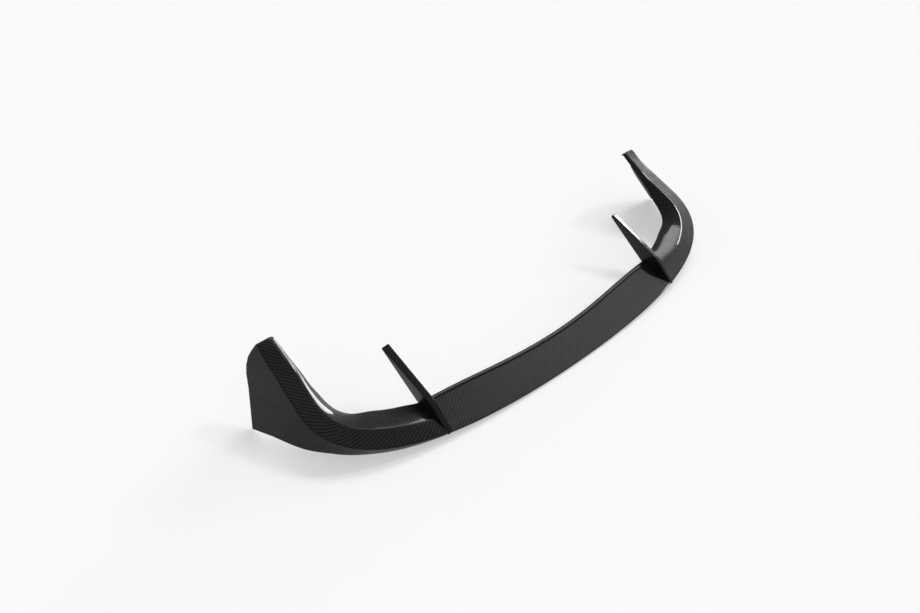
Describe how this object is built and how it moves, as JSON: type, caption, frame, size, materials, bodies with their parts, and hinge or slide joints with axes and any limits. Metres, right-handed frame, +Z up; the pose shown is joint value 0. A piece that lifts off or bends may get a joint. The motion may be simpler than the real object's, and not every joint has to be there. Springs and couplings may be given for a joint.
{
  "type": "car roof spoiler",
  "caption": "Hatchback roof spoiler add-on in gloss carbon twill: a wide curved blade, swept-forward arms with flared end plates and slim fins on its leading edge.",
  "frame": {"origin": "middle of the overall box at floor level, with the part standing as pictured", "axes": "+X to the car's right along the blade, +Y to the car's front where the arms and fins point, +Z up"},
  "size_m": [1.1948, 0.3445, 0.1557],
  "materials": {
    "carbon_twill": "2x2 carbon twill under a glossy clear coat"
  },
  "bodies": {
    "root": {"spoiler_body": "carbon_twill"}
  },
  "joints": []
}
